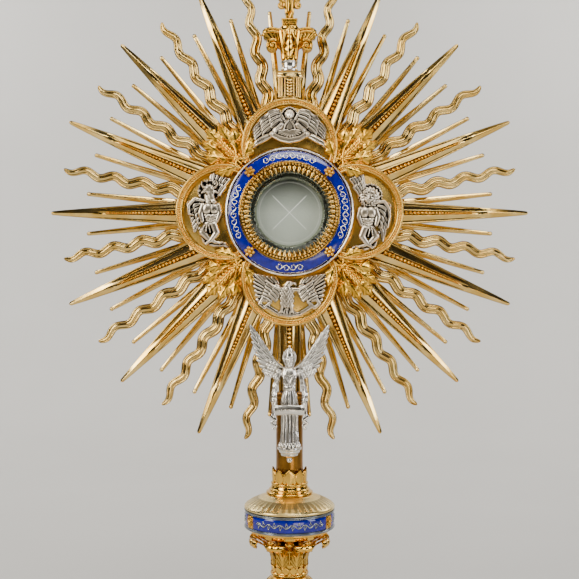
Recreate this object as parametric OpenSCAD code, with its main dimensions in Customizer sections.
// Sunburst monstrance: a round glazed case for the luna, framed by a blue enamel ring and four relief
// medallions, inside a glory of 62 rays, on a knopped stem with a silver angel and a domed foot.
// Row frame: +Z up, the front faces -Y, and the origin is the centre of the foot's underside.

/* [Overall] */
// Height of the window's centre above the table
centre_z = 550; // [540:1:570]
// Radius from the window's centre to the tips of the long rays
glory_r = 250; // [240:1:260]
// Radius of the foot's bottom rim
foot_r = 125; // [120:1:135]

/* [Case] */
// Inner radius of the case tube that holds the luna
case_bore_r = 46; // [45:0.1:46]
// Radius of the host in the luna
host_r = 35; // [30:0.5:36]
// How far the rear door stands open
door_open = 0; // [0:5:110]

/* [Glory] */
// Half the width of a long ray at its root
long_ray_w = 14.6; // [12:0.1:15]
// Half the width of a flame ray at its root
flame_ray_w = 7.0; // [5:0.1:8]
// How far a flame ray swings to each side
flame_swing = 2.4; // [1:0.1:3]
// Half the width of a short ray at its root
short_ray_w = 5.2; // [4:0.1:5.3]

/* [Hidden] */
$fn = 72;

gilt = "goldenrod";
silver = "silver";
enamel = "mediumblue";

gap = 0.1; // clearance between pieces that only lie against each other
rod_r = 3; // the stem's tie rod
rod_bore_r = 3.2;

// Depths in the glory, from its middle plane towards the front
short_back = -7.5;
short_front = -3.2;
flame_back = -2.8;
flame_front = 2.8;
long_back = 3.2;
long_front = 10;
plate_front = 13;
ground_front = 14;

hub_r = 90; // outside of the ring that the rays stand on
ray_root = hub_r + 0.2;
ray_pitch = 22.5; // angle between two long rays
lobe_r = 50; // outside of a medallion's rim
lobe_rim_w = 7;
lobe_c = 68; // a medallion's centre from the window's centre
lobe_clear = 67.2; // the medallions stop at this radius, where the enamel ring begins
lobe_reach = lobe_c + lobe_r;
ring_in = 50.2; // inside of everything that surrounds the case tube
ring_out = 67;
tube_r = 50.1;
tube_back = -26;
tube_front = 22.2;

// Heights on the stem
z_crown = centre_z - 285;
z_dome_top = centre_z - 294;
z_band_top = centre_z - 309;
z_band_low = centre_z - 328;
z_bell_top = centre_z - 332;
z_bell_low = centre_z - 369;
z_leaf_low = centre_z - 379;
z_baluster_top = 150;
z_collar_top = 108;
z_foot_top = 100;
z_cap_low = centre_z - 193;
z_cap_top = centre_z - 187;
knop_r = 47;
column_r = 14.2;

// The cross stands a little in front of the rays
cross_d = 9.6;
cross_foot = 201;
cross_mid = 262;
cross_top = 310;

// ---------------------------------------------------------------- helpers

// Puts a shape drawn on the glory's plane (x right, y up, z towards the front) in its place
module on_face() {
    translate([0, 0, centre_z]) rotate([90, 0, 0]) children();
}

// Point p turned by angle a about the z axis
function turned(p, a) = [p[0] * cos(a) - p[1] * sin(a), p[0] * sin(a) + p[1] * cos(a), p[2]];
function mix(a, b, t) = a + (b - a) * t;

// Faces of one lofted shell of rings, each of m points. A ring runs out along its upper edge and back
// along its lower edge, so each end closes with a strip between the two edges.
function shell_faces(first, rings, m) = let (last = first + (rings - 1) * m) concat(
    [for (r = [0:rings - 2], i = [0:m - 1])
        let (a = first + r * m + i, b = first + r * m + (i + 1) % m)
            each [[a, b, b + m], [a, b + m, a + m]]],
    [for (i = [0:m / 2 - 2])
        let (a = first + i, b = first + m - 1 - i) each [[a, b, b - 1], [a, b - 1, a + 1]]],
    [for (i = [0:m / 2 - 2])
        let (a = last + i, b = last + m - 1 - i) each [[a, b - 1, b], [a, a + 1, b - 1]]]
);

// Several separate shells, each a list of rings, drawn as one set of closed solids
module shells(list) {
    rings = len(list[0]);
    m = len(list[0][0]);
    polyhedron(
        points = [for (s = list, ring = s, p = ring) p],
        faces = [for (k = [0:len(list) - 1]) each shell_faces(k * rings * m, rings, m)]
    );
}

// Ring of a ray at distance x: chain is a list of [share of half-width, share of height]
function ray_ring(x, w, h, back, chain, shift = 0) = concat(
    [for (c = chain) [x, shift + c[0] * w, back + c[1] * h]],
    [for (i = [len(chain) - 1:-1:0]) [x, shift + chain[i][0] * w, back]]
);
function ray_turned(rings, a) = [for (ring = rings) [for (p = ring) turned(p, a)]];

// Ellipse of m points in the plane z, starting at the left and running over the back
function oval(m, rx, ry, z, cx = 0, cy = 0) =
    [for (i = [0:m - 1]) let (a = 180 - 360 * (i + 0.5) / m) [cx + rx * cos(a), cy + ry * sin(a), z]];

// The same points mirrored to both sides of the y axis, as one closed outline; it starts and ends there
function both_sides(half) =
    concat(half, [for (i = [len(half) - 2:-1:1]) [-half[i][0], half[i][1]]]);

// Row of n copies about the z axis
module around(n, start = 0) {
    for (k = [0:n - 1]) rotate([0, 0, start + k * 360 / n]) children();
}

// Lathe-turned shape from [r, z] points
module turned_part(points) {
    rotate_extrude() polygon(points);
}

// ---------------------------------------------------------------- foot

foot_in = foot_r - 12;

module foot_rim() color(gilt) turned_part([
    [foot_r - 15, 0], [foot_r - 3, 0], [foot_r, 2], [foot_r, 4], [foot_r - 3, 5.5], [foot_r - 5, 8],
    [foot_r - 15, 8]
]);

module foot_plate() color("peru") difference() {
    translate([0, 0, 8]) cylinder(h = 3, r = foot_in - gap);
    translate([0, 0, 7]) cylinder(h = 5, r = rod_bore_r);
}

module foot_band() color(gilt) turned_part([
    [foot_in, 8], [foot_r - 7, 8], [foot_r - 6, 10], [foot_r - 8, 11], [foot_r - 8, 23], [foot_r - 6, 24],
    [foot_r - 7, 26], [foot_r - 19, 26], [foot_r - 19, 23.5], [foot_r - 10.5, 23.5], [foot_r - 10.5, 13],
    [foot_r - 19, 13], [foot_r - 19, 11], [foot_in, 11]
]);

// Curved panels set in a band, with a gap of half_gap degrees each side of a stud
module band_panels(n, r, thick, low, high, half_gap) {
    around(n) rotate([0, 0, half_gap])
        rotate_extrude(angle = 360 / n - 2 * half_gap) translate([r, low]) square([thick, high - low]);
}

// Studs between the panels: a pad that follows the band, with a domed centre
module band_studs(n, r, thick, low, high, half_gap) {
    around(n) {
        rotate([0, 0, -half_gap + 0.3])
            rotate_extrude(angle = 2 * half_gap - 0.6) translate([r, low]) square([thick, high - low]);
        translate([r + thick - 0.3, 0, (low + high) / 2]) rotate([0, 90, 0])
            cylinder(h = 1.6, r1 = 3.6, r2 = 1.5);
    }
}

module foot_enamel() color(enamel) band_panels(8, foot_r - 8 + gap / 2, 0.8, 11.6, 22.4, 3.4);
module foot_studs() color(gilt) band_studs(8, foot_r - 8 + gap / 2, 0.9, 11.6, 22.4, 3.4);

module foot_dome() color(gilt) turned_part([
    [foot_r - 13, 26], [foot_r - 10, 26], [foot_r - 10, 28], [foot_r - 16, 34], [foot_r - 32, 40],
    [foot_r - 56, 47], [50, 58], [37, 72], [30, 86], [28, 93], [29, 97], [28, z_foot_top],
    [24, z_foot_top], [26, z_foot_top + 2], [26, z_foot_top + 4], [22, z_foot_top + 5],
    [21, z_foot_top + 6.5], [19, z_collar_top], [rod_bore_r, z_collar_top], [rod_bore_r, z_foot_top - 3],
    [25.5, z_foot_top - 3], [25.5, 94], [27.5, 85], [34.5, 70.5], [48, 55.6],
    [foot_r - 57, 44.6], [foot_r - 33, 37.6], [foot_r - 18, 31.5]
]);

// ---------------------------------------------------------------- tie rod

module tie_rod() color("tan") translate([0, 0, 1]) cylinder(h = centre_z - 76, r = rod_r);

module tie_nut() color("tan") difference() {
    translate([0, 0, 3]) cylinder(h = 5, r = 7, $fn = 6);
    translate([0, 0, 2]) cylinder(h = 7, r = rod_r + 0.05);
}

// ---------------------------------------------------------------- stem below the knop

module baluster() color(gilt) turned_part([
    [rod_bore_r, z_collar_top], [15, z_collar_top], [13, z_collar_top + 3], [12.4, z_collar_top + 8],
    [14, z_collar_top + 14], [18, z_collar_top + 22], [23, z_collar_top + 30], [25, z_collar_top + 36],
    [24, z_baluster_top - 2], [22, z_baluster_top], [rod_bore_r, z_baluster_top]
]);

module cushion_ring() color(gilt) turned_part([
    [rod_bore_r, z_baluster_top], [21, z_baluster_top], [25, z_baluster_top + 2], [27, z_baluster_top + 6],
    [26.6, z_baluster_top + 10], [24.5, z_baluster_top + 15], [20, z_baluster_top + 19],
    [17, z_leaf_low], [rod_bore_r, z_leaf_low]
]);

// Flared shell whose upper edge is cut into n pointed leaves
module leaf_crown(n, low, mid, high, r_low, r_high, bore, notch) {
    difference() {
        turned_part([
            [bore, low], [r_low, low], [r_low + 0.6, mid], [r_high, high], [r_high - 1.2, high],
            [bore + 0.6, mid + 1], [bore, mid]
        ]);
        around(n) translate([bore - 2, 0, 0]) rotate([90, 0, 90])
            linear_extrude(r_high) polygon([[-notch, high + 1], [0, mid + 0.8], [notch, high + 1]]);
    }
}

module leaf_ring() color(gilt) difference() {
    union() {
        turned_part([
            [rod_bore_r, z_leaf_low], [16.6, z_leaf_low], [18.4, z_leaf_low + 3], [17, z_leaf_low + 6],
            [16.6, z_bell_low], [rod_bore_r, z_bell_low]
        ]);
        leaf_crown(12, z_leaf_low + 1, z_leaf_low + 4, z_bell_low + 1, 18, 20.8, 16, 3.4);
    }
    translate([0, 0, z_bell_low]) cylinder(h = 5, r = 18.4);
}

// Bell of the capital, with the ledge that the knop stands on
module capital_bell() color(gilt) turned_part([
    [rod_bore_r, z_bell_low], [17.6, z_bell_low], [17.6, z_bell_low + 12], [19.4, z_bell_low + 20],
    [26, z_bell_low + 28], [36, z_bell_low + 34], [37, z_bell_top], [40, z_bell_top],
    [43.5, z_bell_top + 1.2], [43.5, z_band_low], [rod_bore_r, z_band_low]
]);

// Acanthus leaf standing on the bell: half-angles, then the back and the face as [r, z]
leaf_spread = [9, 17, 16, 13, 10, 7, 3];
leaf_back = [[18, 2], [18.4, 11], [20.4, 19.5], [26.6, 27.2], [34.6, 32.6], [40.4, 33.6], [42.6, 29.4]];
leaf_face = [[19.4, 2], [20, 10.6], [22.2, 18.2], [28.2, 25.4], [35.2, 30.4], [39, 31], [40.6, 28.6]];

// Ring of a leaf: out along its raised face and back along its underside, both as [r, z]
function leaf_ring_points(phi, half, under, face, base_z) = concat(
    [for (s = [-1, -0.5, 0, 0.5, 1])
        let (r = face[0] + (s == 0 ? 0.5 : 0), a = phi + s * half)
            [r * cos(a), r * sin(a), base_z + face[1]]],
    [for (s = [1, 0.5, 0, -0.5, -1])
        let (a = phi + s * half) [under[0] * cos(a), under[0] * sin(a), base_z + under[1]]]
);

module capital_leaves() color(gilt) shells([for (k = [0:7])
    [for (i = [0:len(leaf_spread) - 1]) let (half = leaf_spread[i] * 18 / leaf_face[i][0])
        leaf_ring_points(k * 45 + 22.5, half, leaf_back[i], leaf_face[i], z_bell_low)]
]);

// ---------------------------------------------------------------- knop

module knop_band() color(silver) turned_part([
    [30, z_band_low], [knop_r + 0.6, z_band_low], [knop_r + 0.6, z_band_low + 2],
    [knop_r - 1, z_band_low + 3], [knop_r - 1, z_band_top - 3], [knop_r + 0.6, z_band_top - 2],
    [knop_r + 0.6, z_band_top], [30, z_band_top]
]);

knop_enamel_low = z_band_low + 3.2;
knop_enamel_high = z_band_top - 3.2;

module knop_enamel() color(enamel)
    rotate([0, 0, -30]) band_panels(3, knop_r - 1 + gap / 2, 1.1, knop_enamel_low, knop_enamel_high, 7);
module knop_studs() color(gilt)
    rotate([0, 0, -30]) band_studs(3, knop_r - 1 + gap / 2, 1.2, knop_enamel_low, knop_enamel_high, 7);

module knop_dome() color(gilt) turned_part([
    [rod_bore_r, z_dome_top], [24, z_dome_top], [26, z_dome_top - 1.5], [33, z_dome_top - 4],
    [41, z_dome_top - 7.5], [46.6, z_dome_top - 11], [47.8, z_dome_top - 12.4], [47.6, z_dome_top - 14],
    [46.4, z_band_top], [30, z_band_top], [30, z_band_top + 2], [41, z_band_top + 4],
    [32, z_dome_top - 6.5], [23, z_dome_top - 3], [rod_bore_r, z_dome_top - 3]
]);

module step_collar() color(gilt) turned_part([
    [rod_bore_r, z_dome_top], [23.6, z_dome_top], [24.8, z_dome_top + 1.4], [24.2, z_dome_top + 2.8],
    [21.4, z_dome_top + 3.6], [21, z_dome_top + 5.4], [19.8, z_dome_top + 6.6], [19.2, z_crown],
    [rod_bore_r, z_crown]
]);

module crown_leaves() color(gilt)
    leaf_crown(10, z_crown, z_crown + 8, z_crown + 16, 18, 19.6, 16.4, 3.2);

module column() color(gilt) turned_part([
    [rod_bore_r, z_crown], [16, z_crown], [15.4, z_crown + 8], [column_r, z_crown + 18],
    [column_r, z_cap_low], [14.8, z_cap_low + 1], [14.8, z_cap_low + 4], [12.6, z_cap_top],
    [rod_bore_r, z_cap_top]
]);

// ---------------------------------------------------------------- angel

angel_y = -26;
angel_z = centre_z - 241; // the hem

// Stepped corbel under the angel, hollowed to sit on the column, with a turned drop below
module bracket() color(silver) difference() {
    translate([0, angel_y, 0]) turned_part([
        [0, angel_z], [12.5, angel_z], [12.5, angel_z - 2.4], [10.6, angel_z - 3.4], [10.6, angel_z - 5.4],
        [8.6, angel_z - 6.6], [8.8, angel_z - 8.6], [5.6, angel_z - 10.6], [2.4, angel_z - 12.4],
        [2.9, angel_z - 14], [1.8, angel_z - 16], [0, angel_z - 17]
    ]);
    translate([0, 0, centre_z - 300]) cylinder(h = 80, r = column_r + 0.02);
}

// Robe and bodice from the hem to the neck: height, half-width, half-depth
robe_stations = [
    [0, 10.4, 8.6], [4, 9.6, 8], [16, 8.4, 7.2], [34, 8.2, 7], [46, 8.6, 7.2], [56, 7.4, 6.2],
    [63.5, 5.8, 5.2], [70, 6.8, 5.6], [76, 7.4, 5.4], [79, 5.6, 4.2], [81, 2.6, 2.8]
];
module angel_robe() color(silver) translate([0, angel_y, angel_z])
    shells([[for (s = robe_stations) oval(16, s[1], s[2], s[0])]]);

// Head with dressed hair and a small crown
head_stations = [
    [81, 2.4, 2.6], [83, 3.6, 4], [86, 5, 5], [90, 5.4, 5.6], [93.5, 5.2, 5.4], [96.5, 4.2, 4.4],
    [98.8, 2.4, 2.6], [101, 0.6, 0.6]
];
module angel_head() color(silver) translate([0, angel_y, angel_z])
    shells([[for (s = head_stations) oval(14, s[1], s[2], s[0])]]);

// An arm from the shoulder over the elbow to the hand: sideways, forward, height, radius
arm_stations = [
    [9.6, -0.5, 77.6, 1.4], [11.8, -0.3, 72, 2.6], [14.6, 0, 62, 3.2], [16.8, 2, 52, 3.2],
    [16.4, 6.2, 46, 2.7], [15, 8.6, 44, 1.9]
];
module angel_arms() color(silver) translate([0, angel_y, angel_z]) shells([for (side = [-1, 1])
    [for (s = arm_stations) oval(8, s[3], s[3], s[2], side * s[0], -s[1])]
]);

// Scroll held across the skirt, its ends hanging down
scroll_half = [
    [0, 33.4], [13, 33.6], [12.8, 26], [15, 21], [14.6, 18.6], [18, 18.4], [19.4, 23], [17.6, 28],
    [18.4, 34], [16, 43], [0, 42.4]
];
module angel_scroll() color(silver) translate([0, angel_y - 10.6, angel_z]) rotate([90, 0, 0])
    linear_extrude(1.6) polygon(both_sides(scroll_half));

// Pair of raised wings on a plate behind the shoulders
wing_half = [
    [0, 66], [13, 64], [22, 68], [28.4, 74.5], [32.5, 84], [36, 95], [39, 107], [40.8, 118], [41, 124.6],
    [39, 124], [34, 117], [28, 107], [21, 96], [14, 86.5], [9, 82], [4, 78.5], [0, 77.5]
];
module angel_wings() color(silver) translate([0, angel_y + 8.2, angel_z]) rotate([90, 0, 0])
    linear_extrude(2.4) polygon(both_sides(wing_half));

// ---------------------------------------------------------------- glory

module glory_hub() color(gilt) on_face() difference() {
    union() {
        turned_part([
            [ring_in, 6], [84, 6], [84, -8], [hub_r, -8], [hub_r, long_front], [ring_in, long_front]
        ]);
        translate([0, -86, 0]) rotate([-90, 0, 0]) cylinder(h = 16, r = 7);
    }
    translate([0, -hub_r - 1, 0]) rotate([-90, 0, 0]) cylinder(h = 17, r = rod_r + 0.05);
    around(8, 22.5) translate([73, 0, 5]) cylinder(h = 6, r = 1.6);
}

long_chain = [
    [-1, 0.3], [-0.86, 0.42], [-0.76, 0.2], [-0.68, 0.55], [-0.3, 1], [-0.22, 0.7],
    [0.22, 0.7], [0.3, 1], [0.68, 0.55], [0.76, 0.2], [0.86, 0.42], [1, 0.3]
];
long_h = long_front - long_back;
long_neck = glory_r - 12;
function long_w(x) = mix(long_ray_w, 3.6, (x - ray_root) / (long_neck - ray_root));
function long_t(x) = mix(long_h, 3, (x - ray_root) / (long_neck - ray_root));

long_angles = [for (k = [0:15]) if (k != 4 && k != 12) k * ray_pitch];

module long_rays() color(gilt) on_face() shells([for (a = long_angles) ray_turned([
    ray_ring(ray_root, long_w(ray_root), long_t(ray_root), long_back, long_chain),
    ray_ring(long_neck, long_w(long_neck), long_t(long_neck), long_back, long_chain),
    ray_ring(glory_r, 1.4, 1.6, long_back, long_chain)
], a)]);

flame_tip = glory_r - 8;
flame_chain = [[-1, 0.3], [0, 1], [1, 0.3]];
flame_wave = 30.5; // length of one wave
function flame_shift(x) =
    flame_swing * min(1, max(0, (x - 100) / 22)) * sin(360 * (flame_tip - x) / flame_wave);
function flame_w(x) = x < 225 ? mix(flame_ray_w, 4.4, (x - ray_root) / (225 - ray_root))
    : mix(4.4, 1.7, (x - 225) / (flame_tip - 225));
function flame_t(x) = mix(flame_front - flame_back, 2.6, (x - ray_root) / (flame_tip - ray_root));

module flame_rays() color(gilt) on_face() shells([for (k = [0:15])
    let (side = k < 4 || k > 11 ? -1 : 1) ray_turned([for (i = [0:24])
        let (x = mix(ray_root, flame_tip, i / 24))
        ray_ring(x, flame_w(x), flame_t(x), flame_back, flame_chain, side * flame_shift(x))
    ], (k + 0.5) * ray_pitch)]);

short_tip = glory_r - 34;
module short_rays() color(gilt) on_face() shells([for (k = [0:31]) ray_turned([
    ray_ring(ray_root, short_ray_w, short_front - short_back, short_back, flame_chain),
    ray_ring(short_tip - 3, 2.3, 2.8, short_back, flame_chain),
    ray_ring(short_tip, 1.3, 1.8, short_back, flame_chain)
], (k + 0.5) * ray_pitch / 2)]);

// Straight blade that takes the place of a long ray above and below: half-widths at its root and end
module blade(end, w_root, w_end) {
    shells([[
        ray_ring(ray_root, w_root, long_h - 0.1, long_back, long_chain),
        ray_ring(end, w_end, long_h - 0.1, long_back, long_chain)
    ]]);
}
module lower_blade() color(gilt) on_face() rotate([0, 0, -90]) blade(centre_z - z_cap_top, 12.4, 11.4);

// The upper blade thickens beyond the medallion into the socket of the cross
upper_end = 146.5;
module upper_blade() color(gilt) on_face() {
    translate([0, 0, long_back]) linear_extrude(long_h - 0.1)
        polygon([[-12.4, ray_root], [12.4, ray_root], [11.9, upper_end], [-11.9, upper_end]]);
    translate([0, 0, long_back]) linear_extrude(13)
        polygon([[-12, lobe_reach + 0.4], [12, lobe_reach + 0.4], [11.9, upper_end], [-11.9, upper_end]]);
}

// ---------------------------------------------------------------- cross

module at_cross() translate([0, -cross_d, centre_z]) children();

module cross_post() color(silver) at_cross() turned_part([
    [0, upper_end], [9.2, upper_end], [9.2, upper_end + 2], [8.6, upper_end + 3], [8.6, 155], [9.2, 157],
    [0, 157]
]);

// Leafy capital with two ears and a square abacus
module cross_capital() color(gilt) at_cross() {
    turned_part([[0, 157], [8.4, 157], [9, 166], [11.5, 180], [13, 188], [11, 192], [0, 192]]);
    translate([-8.5, -6.5, 192]) cube([17, 13, 9]);
    for (side = [-1, 1]) translate([0, 5, 0]) rotate([90, 0, 0]) linear_extrude(10)
        polygon([for (p = [
            [8, 168], [14, 163], [20, 167], [24, 172], [28, 178], [28.6, 186], [26, 190.5], [18, 191],
            [8, 192]
        ]) [side * p[0], p[1]]]);
}

// One arm of the cross, pointing along +y, that ends in a fleur of three petals
module fleur_arm(length, tip) {
    polygon([
        [-3.6, 0], [3.6, 0], [3.2, length - 19], [6, length - 20], [10, length - 22], [13.4, length - 18.6],
        [14.2, length - 14], [11.8, length - 10.6], [8, length - 10.4], [5.6, length - 9], [tip, length],
        [-tip, length], [-5.6, length - 9], [-8, length - 10.4], [-11.8, length - 10.6],
        [-14.2, length - 14], [-13.4, length - 18.6], [-10, length - 22], [-6, length - 20],
        [-3.2, length - 19]
    ]);
}

module cross() color(gilt) at_cross() translate([0, 3, 0]) rotate([90, 0, 0]) {
    linear_extrude(6) translate([0, cross_mid]) {
        fleur_arm(cross_top - cross_mid, 1.2);
        rotate(90) fleur_arm(44, 1.2);
        rotate(-90) fleur_arm(44, 1.2);
        rotate(180) fleur_arm(cross_mid - cross_foot, 4);
    }
    translate([0, cross_mid, -1]) cylinder(h = 8, r = 9);
}

// ---------------------------------------------------------------- quatrefoil

module four_lobes() {
    for (a = [0:90:270]) rotate([0, 0, a]) translate([lobe_c, 0, 0]) children();
}

// Plate with a raised ground in each lobe
module quatrefoil_plate() color(gilt) on_face() difference() {
    union() {
        translate([0, 0, long_front]) four_lobes() cylinder(h = plate_front - long_front, r = lobe_r);
        translate([0, 0, long_front]) cylinder(h = plate_front - long_front, r = ring_out);
        difference() {
            translate([0, 0, plate_front - 1]) four_lobes() cylinder(h = 2, r = lobe_r - lobe_rim_w - gap);
            cylinder(h = 30, r = lobe_clear);
        }
    }
    translate([0, 0, long_front - 1]) cylinder(h = 6, r = ring_in);
    around(8, 22.5) translate([73, 0, long_front - 1]) cylinder(h = 3.4, r = 1.6);
}

module lobe_rims() color(gilt) on_face() difference() {
    translate([0, 0, plate_front]) four_lobes() rotate_extrude() polygon([
        [lobe_r - lobe_rim_w, 0], [lobe_r, 0], [lobe_r, 4], [lobe_r - 2, 6.2], [lobe_r - 4, 7],
        [lobe_r - 6, 5.6], [lobe_r - lobe_rim_w, 4]
    ]);
    cylinder(h = 30, r = lobe_clear);
}

module plate_screws() color("tan") on_face() around(8, 22.5) translate([73, 0, 0]) {
    translate([0, 0, 3.8]) cylinder(h = 2.2, r = 3.2);
    translate([0, 0, 3.8]) cylinder(h = 8.4, r = 1.5);
}

// ---------------------------------------------------------------- reliefs

// Low relief from outlines: each is [height, points] on the glory's plane, standing on the ground
module relief(outlines) {
    color(silver) on_face() translate([0, 0, ground_front]) intersection() {
        union() for (o = outlines) linear_extrude(o[0]) polygon(o[1]);
        difference() {
            four_lobes() cylinder(h = 9, r = lobe_r - lobe_rim_w - 0.4);
            translate([0, 0, -1]) cylinder(h = 12, r = lobe_clear + 0.4);
        }
    }
}

// Winged man above, facing the front, with a scroll
module relief_man() relief([
    [3, both_sides([
        [0, 92], [10, 86], [20, 80], [30, 68], [37.5, 62], [38.5, 72], [33, 87], [23, 100], [14, 107],
        [9, 106], [8, 99], [0, 99]
    ])],
    [5, both_sides([
        [0, 70], [8, 70], [18, 74], [28, 68], [34, 72], [26, 82], [17, 86], [9, 95], [4, 98], [0, 98]
    ])],
    [6, [for (a = [0:20:340]) [7 * cos(a), 102 + 7 * sin(a)]]]
]);

// Winged ox on the left
module relief_ox() relief([
    [3, [
        [-66, 36], [-74, 35], [-86, 28], [-96, 20], [-98, 8], [-104, 2], [-105, -14], [-98, -24], [-88, -18],
        [-82, 6], [-74, 16], [-68, 22]
    ]],
    [5, [
        [-92, 22], [-82, 27], [-72, 22], [-71, 10], [-72, -8], [-70, -22], [-66, -37], [-80, -36],
        [-96, -28], [-92, -16], [-93, 4]
    ]],
    [6, [for (a = [0:20:340]) [-82 + 10 * cos(a), 16 + 11 * sin(a)]]]
]);

// Winged lion on the right
module relief_lion() relief([
    [3, [
        [68, 36], [82, 32], [92, 20], [98, 4], [104, -4], [103, -20], [96, -22], [88, -4], [78, 14],
        [70, 22]
    ]],
    [5, [[74, 8], [92, 8], [94, -8], [90, -24], [88, -34], [72, -38], [66, -38], [72, -24]]],
    [6, [for (a = [0:20:340]) [83 + 12 * cos(a), 15 + 12 * sin(a)]]]
]);

// Eagle below, its wings raised
module relief_eagle() relief([
    [3, [
        [-38, -60], [-30, -66], [-12, -66], [0, -72], [12, -66], [30, -62], [38, -58], [36, -76], [26, -90],
        [10, -92], [-10, -94], [-26, -90], [-36, -76]
    ]],
    [5, [
        [-8, -68], [4, -66], [8, -70], [2, -76], [8, -88], [2, -104], [-6, -108], [-12, -98], [-10, -84],
        [-10, -74]
    ]]
]);

// ---------------------------------------------------------------- corner foliage

// A pointed leaf of given length and half-width from the origin along +x
module leaf(length, w, tip_d) hull() {
    translate([0, 0, 0]) cylinder(h = 2.4, r = 1.6, $fn = 12);
    translate([length * 0.42, w, 0.6]) cylinder(h = 2.2, r = 1, $fn = 12);
    translate([length * 0.42, -w, 0.6]) cylinder(h = 2.2, r = 1, $fn = 12);
    translate([length * 0.5, 0, 0]) cylinder(h = 5, r = 1.4, $fn = 12);
    translate([length, 0, tip_d]) cylinder(h = 1.6, r = 0.7, $fn = 12);
}

// Root along and across, length, half-width and direction of each leaf of a spray that points along +x
spray_leaves = [
    [68.4, 0, 36, 6, 0], [84, 5, 34, 7, 16], [84, -5, 34, 7, -16], [78, 6, 24, 6, 44], [78, -6, 24, 6, -44],
    [92, 0, 30, 6, 0]
];

module corner_foliage() color(gilt) on_face() for (a = [45:90:315]) rotate([0, 0, a]) intersection() {
    union() for (s = spray_leaves)
        translate([s[0], s[1], long_front + 0.05]) rotate([0, 0, s[4]]) leaf(s[2], s[3], 3);
    difference() {
        translate([ring_out, -40, long_front]) cube([70, 80, 12]);
        for (side = [-45, 45]) rotate([0, 0, side]) translate([lobe_c, 0, 0])
            cylinder(h = 30, r = lobe_r + 0.3, $fn = 96);
        cylinder(h = 30, r = ring_out + 0.3, $fn = 96);
    }
}

// ---------------------------------------------------------------- case and window

luna_back = 4;
luna_front = 16.1;
glass_back = 19.8;
glass_front = 22.2;

hinge_x = -54.5;
hinge_d = -28.2;
hinge_pin_r = 1.4;
latch_x = 55;
latch_pin_r = 1.5;
door_r = 49.8;

// Tube with a soldering flange, a lip that the luna stops at, and the lugs of the hinge and latch
module case_tube() color(gilt) on_face() difference() {
    union() {
        turned_part([
            [case_bore_r, tube_back], [tube_r, tube_back], [tube_r, 3], [57, 3], [57, 6], [tube_r, 6],
            [tube_r, glass_front], [case_bore_r, glass_front], [case_bore_r, glass_back],
            [case_bore_r - 1.6, glass_back], [case_bore_r - 1.6, luna_front + 0.1],
            [case_bore_r, luna_front + 0.1]
        ]);
        for (side = [-1, 1]) translate([hinge_x, side * 9 - 4, 0]) {
            translate([-3, 0, tube_back]) cube([11, 8, 6]);
            translate([0, 0, hinge_d]) rotate([-90, 0, 0]) cylinder(h = 8, r = 3);
        }
        translate([47, -4, tube_back]) cube([latch_x - 47, 8, 8]);
        translate([latch_x, 0, -30.2]) cylinder(h = 12.2, r = 4);
    }
    translate([hinge_x, -20, hinge_d]) rotate([-90, 0, 0]) cylinder(h = 40, r = hinge_pin_r + 0.05);
    translate([latch_x, 0, -31]) cylinder(h = 10, r = latch_pin_r + 0.05);
}

module enamel_frame() color(gilt) on_face() turned_part([
    [ring_in, plate_front], [ring_out, plate_front], [ring_out, 20.6], [66.4, 21.8], [64.6, 22.2],
    [63.8, 21.4], [63.8, 19.6], [51.4, 23.4], [51.4, 26], [ring_in, 26]
]);

rosette_half = 6.8; // degrees on each side of a rosette that the panels leave free

module enamel_panels() color(enamel) on_face() around(4, 45 + rosette_half)
    rotate_extrude(angle = 90 - 2 * rosette_half)
        polygon([[51.6, 23.36], [63.6, 19.68], [63.6, 21], [51.6, 24.6]]);

module ring_rosettes() color(gilt) on_face() around(4, 45) intersection() {
    translate([57.6, 0, 18]) cylinder(h = 12, r = 5.9);
    turned_part([[51.6, 23.36], [63.6, 19.68], [63.6, 23], [51.6, 26.6]]);
}

// Bezel over the glass: a rope moulding outside and a row of pointed leaves inside
bezel_teeth = 56;
module crown_bezel() color(gilt) on_face() {
    turned_part([
        [44, glass_front], [tube_r, glass_front], [tube_r, 27], [44, 26.4]
    ]);
    rotate_extrude() translate([48.4, 27.2]) circle(r = 1.6);
    translate([0, 0, 23.6]) linear_extrude(2) difference() {
        circle(r = 44.5);
        polygon([for (i = [0:2 * bezel_teeth - 1])
            let (a = i * 180 / bezel_teeth, r = i % 2 == 0 ? 39 : 42) [r * cos(a), r * sin(a)]]);
    }
}

module front_glass() color("lightcyan", 0.4) on_face()
    translate([0, 0, glass_back]) cylinder(h = glass_front - glass_back, r = case_bore_r - gap);

// ---------------------------------------------------------------- luna and host

// Ring with a groove at each face for its two glasses
module luna_ring() color(gilt) on_face() turned_part([
    [40.4, luna_back], [case_bore_r - gap, luna_back], [case_bore_r - gap, luna_front],
    [40.4, luna_front], [40.4, 15.2], [43.2, 15.2], [43.2, 4.9], [40.4, 4.9]
]);

module luna_glass() color("lightcyan", 0.4) on_face() for (back = [4.9, 13.4])
    translate([0, 0, back]) cylinder(h = 1.8, r = 43.1);

// Ring between the two glasses; its inner edge holds the host
module luna_clip() color(gilt) on_face() turned_part([
    [36.4, 6.7], [43.1, 6.7], [43.1, 13.4], [36.4, 13.4], [34.2, 10.9], [34.2, 10.65],
    [host_r + 0.1, 10.65], [host_r + 0.1, 9.35], [34.2, 9.35], [34.2, 9.1]
]);

module host() color("ivory") on_face() translate([0, 0, 9.4]) cylinder(h = 1.2, r = host_r);

// ---------------------------------------------------------------- rear door and latch

// What swings on the rear door's hinge
module on_door() {
    translate([hinge_x, -hinge_d, 0]) rotate([0, 0, door_open]) translate([-hinge_x, hinge_d, 0])
        on_face() children();
}

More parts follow.
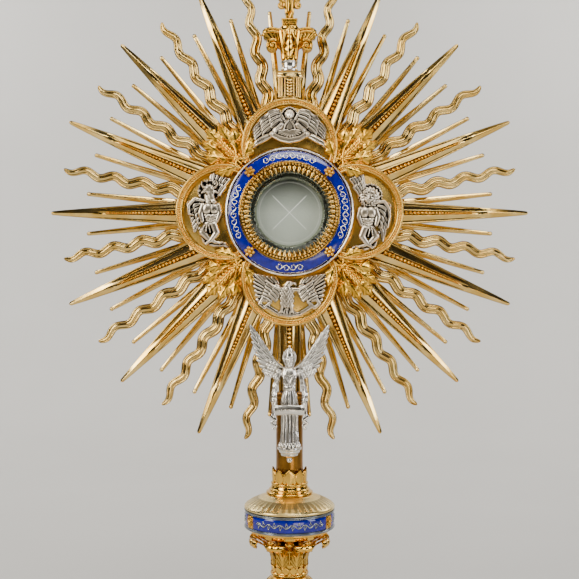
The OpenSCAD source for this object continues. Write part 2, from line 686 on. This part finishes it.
// Ring with its hinge knuckle and knob
module door_ring() color(gilt) on_door() {
    difference() {
        union() {
            turned_part([
                [40, -30], [door_r, -30], [door_r, -26.4], [42.4, -26.4], [42.4, -28.6], [40, -28.6]
            ]);
            translate([hinge_x, -4.6, -30]) cube([8, 9.2, 3.6]);
            translate([hinge_x, -4.6, hinge_d]) rotate([-90, 0, 0]) cylinder(h = 9.2, r = 3);
        }
        translate([hinge_x, -20, hinge_d]) rotate([-90, 0, 0]) cylinder(h = 40, r = hinge_pin_r + 0.05);
    }
    rotate([0, 0, 28]) translate([45, 0, -34]) {
        cylinder(h = 5, r = 1.6);
        sphere(r = 3);
    }
}

module door_glass() color("lightcyan", 0.4) on_door() translate([0, 0, -28.6]) cylinder(h = 2, r = 42.3);

module hinge_pin() color("tan") on_face() translate([hinge_x, 0, hinge_d]) rotate([-90, 0, 0]) {
    translate([0, 0, -13]) cylinder(h = 26, r = hinge_pin_r);
    for (end = [-14, 13]) translate([0, 0, end]) cylinder(h = 1, r = 2.2);
}

// Turn button that swings over the door's edge
module latch() color(gilt) on_face() translate([latch_x, 0, -33]) difference() {
    union() {
        cylinder(h = 2.5, r = 3.6);
        translate([-2.2, 0, 0]) cube([4.4, 10.4, 2.5]);
        translate([0, 10.4, 0]) cylinder(h = 2.5, r = 2.2);
    }
    translate([0, 0, -1]) cylinder(h = 5, r = latch_pin_r + 0.05);
}

module latch_pin() color("tan") on_face() translate([latch_x, 0, 0]) {
    translate([0, 0, -33.6]) cylinder(h = 12.4, r = latch_pin_r);
    translate([0, 0, -34.6]) cylinder(h = 1.3, r = 2.6);
}

// ---------------------------------------------------------------- selection

foot_rim();
foot_plate();
foot_band();
foot_enamel();
foot_studs();
foot_dome();
tie_rod();
tie_nut();
baluster();
cushion_ring();
leaf_ring();
capital_bell();
capital_leaves();
knop_band();
knop_enamel();
knop_studs();
knop_dome();
step_collar();
crown_leaves();
column();
bracket();
angel_robe();
angel_head();
angel_arms();
angel_scroll();
angel_wings();
glory_hub();
long_rays();
flame_rays();
short_rays();
lower_blade();
upper_blade();
cross_post();
cross_capital();
cross();
quatrefoil_plate();
lobe_rims();
relief_man();
relief_ox();
relief_lion();
relief_eagle();
corner_foliage();
plate_screws();
case_tube();
enamel_frame();
enamel_panels();
ring_rosettes();
crown_bezel();
front_glass();
luna_ring();
luna_glass();
luna_clip();
host();
door_ring();
door_glass();
hinge_pin();
latch();
latch_pin();
